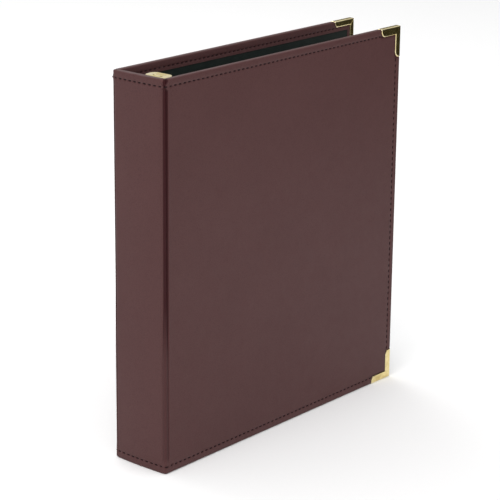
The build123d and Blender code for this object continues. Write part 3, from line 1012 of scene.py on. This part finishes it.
def rounded_reach(station, width, radius):
    """How far a leg's face reaches in from the edge at a distance from the leg's end."""
    if station >= radius:
        return width
    return width - radius + sqrt(radius**2 - (radius - station) ** 2)


def rim_height(station, inset, width, radius):
    """Height of the metal over the leather: a bevel all round the outline."""
    across = max(inset - (width - radius), 0)
    along = max(radius - station, 0)
    inward = radius - sqrt(across**2 + along**2)
    share = min(max(inward / RIM_WIDTH, 0), 1)
    return -RIM_SINK + (CORNER_PROUD + RIM_SINK) * share


def channel_section(station):
    """The folded sheet's section: (inset, depth, outward share, depth share, height over leather)."""
    half = (FACE_Y - ROOM_Y) / 2
    radius = EDGE_RADIUS
    section = []
    for face, (width, leg_round) in ((1, OUTER_FACE), (-1, INNER_FACE)):
        reach = rounded_reach(station, width, leg_round) - CORNER_PROUD
        shares = (0, 0.015, 0.05, 0.1, 0.16, 0.4, 0.7)
        flat = [reach - s * (reach - radius) for s in shares]
        turns = [radians(a) for a in EDGE_TURNS[::-1]]
        part = []
        for inset in flat:
            height = rim_height(station, inset + CORNER_PROUD, width, leg_round)
            part.append((inset, face * half, 0, face, height))
        for turn in turns:
            height = rim_height(station, 0, width, leg_round)
            inset = radius * (1 - sin(turn))
            depth = face * (half - radius + radius * cos(turn))
            part.append((inset, depth, sin(turn), face * cos(turn), height))
        section += part if face > 0 else part[::-1]
    return section


def corner_stations():
    """Stations from a leg's end to the mitre: (distance from the end, share of the way to the mitre)."""
    near = [0, 0.04, 0.12, 0.25, 0.45, 0.7, 1.1, 1.6, 2.2, 3.0, 3.8, 4.6, 5.0]
    shares = [0.15, 0.3, 0.45, 0.6, 0.75, 0.85, 0.9, 0.94, 0.97, 0.985, 1.0]
    return [(s * MM, 0.0) for s in near] + [(near[-1] * MM, share) for share in shares]


def metal_corner(name, side, top):
    """One folded brass corner on a cover's fore-edge."""
    stations = corner_stations()
    edge_u = FORE_X
    edge_v = COVER_HIGH.z
    place = cover_place(side)
    layers = []
    for sunk in (False, True):
        grid = []
        for leg in (0, 1):
            rows = []
            for station, share in stations:
                row = []
                for inset, depth, out, flat, height in channel_section(station + share * LEG):
                    lift = PLATE_UNDERSIDE if sunk else height
                    if share == 1.0 and flat * depth > 0 and depth < 0 and not sunk:
                        lift -= MITRE_GROOVE * abs(flat)
                    c = inset - lift * out
                    d = depth + lift * flat
                    start = -CORNER_PROUD + LEG - station
                    along = start * (1 - share) + c * share
                    row.append((along, c, d) if leg == 0 else (c, along, d))
                rows.append(row)
            grid += rows if leg == 0 else rows[-2::-1]
        layers.append(grid)
    points = []
    radius = EDGE_RADIUS + CORNER_PROUD
    for grid in layers:
        for row in grid:
            for a, b, d in row:
                qa, qb = max(radius - CORNER_PROUD - a, 0), max(radius - CORNER_PROUD - b, 0)
                q = sqrt(qa**2 + qb**2)
                if q > radius and qa and qb:
                    a, b = radius - CORNER_PROUD - qa * radius / q, radius - CORNER_PROUD - qb * radius / q
                z = edge_v - b
                z = z if top else COVER_LOW.z + COVER_HIGH.z - z
                points.append(place(edge_u - a, z, d))
    columns = len(layers[0][0])
    rows = len(layers[0])
    size = columns * rows

    def index(layer, row, column):
        """Index of a point of the sheet's outer layer, 0, or inner layer, 1."""
        return layer * size + row * columns + column

    faces = []
    for layer in (0, 1):
        for r in range(rows - 1):
            for c in range(columns - 1):
                faces.append([index(layer, r + i, c + j) for i, j in ((0, 0), (0, 1), (1, 1), (1, 0))])
    for r in range(rows - 1):
        for c in (0, columns - 1):
            faces.append([index(0, r, c), index(0, r + 1, c), index(1, r + 1, c), index(1, r, c)])
    for c in range(columns - 1):
        for r in (0, rows - 1):
            faces.append([index(0, r, c), index(0, r, c + 1), index(1, r, c + 1), index(1, r, c)])
    end = "top" if top else "bottom"
    piece = mesh_piece(f"{name}_{end}_corner_plate", points, faces, CORNER_BRASS, sharp=24.0)
    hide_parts(f"{name}_{end}_corner")
    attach(piece, name + "_cover")


# Pocket pages: welded seams on the CAD's clear pages


def weld_bar(low, high, out, across, tooth_way):
    """A welded seam between two corners on one film: a thin bar with pressed teeth along it."""
    length = high[tooth_way] - low[tooth_way]
    teeth = max(1, round(length / WELD_TOOTH))
    rows = []
    for k in range(2 * teeth + 1):
        at = low[tooth_way] + length * k / (2 * teeth)
        rows.append((at, WELD_PROUD * (1.0 if k % 2 else WELD_NOTCH)))
    points = []
    for at, height in rows:
        near, far = low[across], high[across]
        tops = [(near + WELD_SLOPE, height), (far - WELD_SLOPE, height)]
        for value, rise in [(near, 0.0), *tops, (far, 0.0)]:
            point = [0.0, 0.0, 0.0]
            point[tooth_way] = at
            point[across] = value
            point[1] = low[1] + out * rise
            points.append(tuple(point))
    return points, closed_sweep(len(rows), 4)


def page_welds(number):
    """The welded seams round a page's pockets, on both of its films."""
    node = f"coin_page_{number}"
    low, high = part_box(node)
    column = (high.x - low.x - PAGE_STRIP) / POCKET_COLUMNS
    row = (high.z - low.z - POCKET_SEAM) / POCKET_ROWS
    points, faces = [], []

    def add(part):
        """Adds one bar's points and faces."""
        start = len(points)
        points.extend(part[0])
        faces.extend(tuple(start + i for i in f) for f in part[1])

    gap = WELD_GAP
    for y, out in ((low.y, -1), (high.y, 1)):
        for i in (*range(1, POCKET_COLUMNS + 1), 0):
            x1 = low.x + PAGE_STRIP + column * i
            foot = (x1 - POCKET_SEAM + gap, y, low.z + WELD_MARGIN)
            head = (x1 - gap, y, high.z - WELD_MARGIN)
            add(weld_bar(foot, head, out, 0, 2))
        for j in range(POCKET_ROWS):
            for i in range(POCKET_COLUMNS):
                x0 = low.x + PAGE_STRIP + column * i
                z0 = low.z + row * j
                corner = (x0 + column - POCKET_SEAM - gap, y, z0 + POCKET_SEAM - gap)
                add(weld_bar((x0 + gap, y, z0 + gap), corner, out, 2, 0))
    welds = mesh_piece(node + "_welds", points, faces, WELD, sharp=30.0)
    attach(welds, node)


# CAD pieces that stay


def finish_node(name, material, bevel=0.0):
    """Gives a CAD piece its material, and eased edges where bevel says how wide."""
    node = frame["nodes"][name]
    for k in range(len(node.data.materials)):
        node.data.materials[k] = material
    if bevel:
        given = node.data.attributes.get("custom_normal")
        if given:
            node.data.attributes.remove(given)
        node.data.polygons.foreach_set("use_smooth", [True] * len(node.data.polygons))
        weld = node.modifiers.new("weld", "WELD")
        weld.merge_threshold = MERGE_DISTANCE
        ease_edges = node.modifiers.new("eased_edges", "BEVEL")
        ease_edges.width = bevel
        ease_edges.segments = 2
        ease_edges.limit_method = "ANGLE"
        ease_edges.angle_limit = EASE_ANGLE
        ease_edges.harden_normals = True


def finish_frame():
    """Materials of every CAD piece that still shows or is carried."""
    for name in frame["nodes"]:
        if name.endswith("board"):
            finish_node(name, BOARD)
        elif name.endswith("lining"):
            finish_node(name, LINING, LINING_EASE)
        elif name.startswith("coin_page"):
            finish_node(name, VINYL)
        elif name.endswith("corner"):
            finish_node(name, CORNER_BRASS)
        elif name.endswith("leather"):
            finish_node(name, LEATHER)
        elif name in ("ring_housing", "top_lever", "bottom_lever"):
            finish_node(name, RING_BRASS, METAL_EASE)
        else:
            finish_node(name, RING_BRASS)


# Studio


def area_light(name, place, aim, size, power):
    """A soft rectangular lamp at a place, facing a point."""
    lamp = bpy.data.lights.new(name, "AREA")
    lamp.shape = "RECTANGLE"
    lamp.size, lamp.size_y = size
    lamp.energy = power
    holder = bpy.data.objects.new(name, lamp)
    holder.location = place
    holder.rotation_euler = (Vector(aim) - Vector(place)).to_track_quat("-Z", "Y").to_euler()
    bpy.context.scene.collection.objects.link(holder)


def flag(name, middle, across, up, tone):
    """A dark card beyond the view, which only shows where polished metal or leather mirrors it.
    across and up reach from its middle to its edges."""
    middle, across, up = Vector(middle), Vector(across), Vector((0, 0, up))
    corners = [middle - across - up, middle + across - up, middle + across + up, middle - across + up]
    mesh = bpy.data.meshes.new(name)
    mesh.from_pydata(corners, [], [(0, 1, 2, 3)])
    card = bpy.data.materials.new(name)
    card.use_nodes = True
    shader = card.node_tree.nodes["Principled BSDF"]
    shader.inputs["Base Color"].default_value = tone
    shader.inputs["Specular IOR Level"].default_value = 0.0
    mesh.materials.append(card)
    board = bpy.data.objects.new(name, mesh)
    board.visible_camera = False
    board.visible_diffuse = False
    board.visible_transmission = False
    board.visible_shadow = False
    bpy.context.scene.collection.objects.link(board)


def studio():
    """A pale floor, an even white surround and soft lamps."""
    half = FLOOR_HALF
    corners = [(-half, -half, 0), (half, -half, 0), (half, half, 0), (-half, half, 0)]
    mesh = bpy.data.meshes.new("studio_floor")
    mesh.from_pydata(corners, [], [(0, 1, 2, 3)])
    mesh.materials.append(floor_finish())
    floor = bpy.data.objects.new("studio_floor", mesh)
    floor.location.z = min(COVER_LOW.z, SPINE_LOW.z) - FLOOR_GAP
    bpy.context.scene.collection.objects.link(floor)
    world = bpy.data.worlds.new("surround")
    world.use_nodes = True
    sky = world.node_tree.nodes["Background"]
    sky.inputs["Color"].default_value = (1, 1, 1, 1)
    sky.inputs["Strength"].default_value = SKY_STRENGTH
    bpy.context.scene.world = world
    area_light("key", (-1.5, -0.5, 1.9), LOW_AIM, size=(1.6, 1.6), power=30)
    area_light("fill", (0.9, -2.0, 1.2), LOW_AIM, size=(1.6, 1.4), power=9)
    area_light("rim", (0.4, 1.6, 1.8), HIGH_AIM, size=(1.6, 1.0), power=12)
    flag("studio_flag", (0.55, -0.42, 0.36), across=(0.33, 0.4345, 0), up=0.3, tone=FLAG_TONE)
    back_across = (-0.228, 0.266, 0)
    flag("studio_back_flag", (1.30, 0.61, 0.60), across=back_across, up=0.28, tone=BACK_FLAG_TONE)


def camera():
    """The camera at the photograph's viewing angle."""
    lens = bpy.data.cameras.new("camera")
    lens.lens = VIEW_LENS
    lens.sensor_width = SENSOR
    holder = bpy.data.objects.new("camera", lens)
    flat = cos(VIEW_ELEVATION)
    back = Vector((sin(VIEW_AZIMUTH) * flat, -cos(VIEW_AZIMUTH) * flat, sin(VIEW_ELEVATION)))
    turn = back.to_track_quat("Z", "Y").to_matrix() @ Matrix.Rotation(VIEW_ROLL, 3, "Z")
    holder.rotation_euler = turn.to_euler()
    holder.location = Vector(VIEW_TARGET) + back * VIEW_DISTANCE
    bpy.context.scene.collection.objects.link(holder)
    bpy.context.scene.camera = holder


SIDES = (("front", -1), ("rear", 1))
spine()
for side_name, side_sign in SIDES:
    cover(side_name, side_sign)
    hinge_skin(side_name, side_sign)
    hinge_strip(side_name, side_sign)
    for at_top in (True, False):
        metal_corner(side_name, side_sign, at_top)
for page_number in range(1, 5):
    page_welds(page_number)
finish_frame()
studio()
camera()
bpy.context.scene.view_settings.view_transform = "Standard"
bpy.context.view_layer.update()
